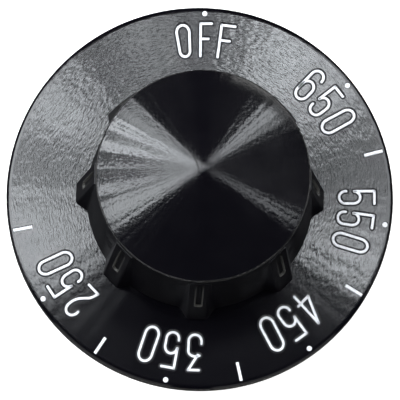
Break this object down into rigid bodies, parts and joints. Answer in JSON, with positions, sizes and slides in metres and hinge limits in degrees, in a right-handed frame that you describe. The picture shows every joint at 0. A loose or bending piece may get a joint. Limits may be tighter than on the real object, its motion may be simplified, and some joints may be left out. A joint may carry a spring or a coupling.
{
  "type": "skirted control knob",
  "caption": "Black moulded dial knob with a flat graduated skirt, a ribbed grip hub, a shallow conical top and a push-on D-shaft socket.",
  "frame": {"origin": "on the stem axis, in the plane of the back face of the skirt", "axes": "+Z along the stem axis towards the tip of the cone, +Y towards the OFF mark of the scale"},
  "size_m": [0.0635, 0.0634, 0.0318],
  "materials": {
    "black_phenolic": "gloss",
    "spring_steel": "satin",
    "white_fill": "satin"
  },
  "bodies": {
    "root": {"knob_body": "black_phenolic", "shaft_spring": "spring_steel"}
  },
  "joints": []
}
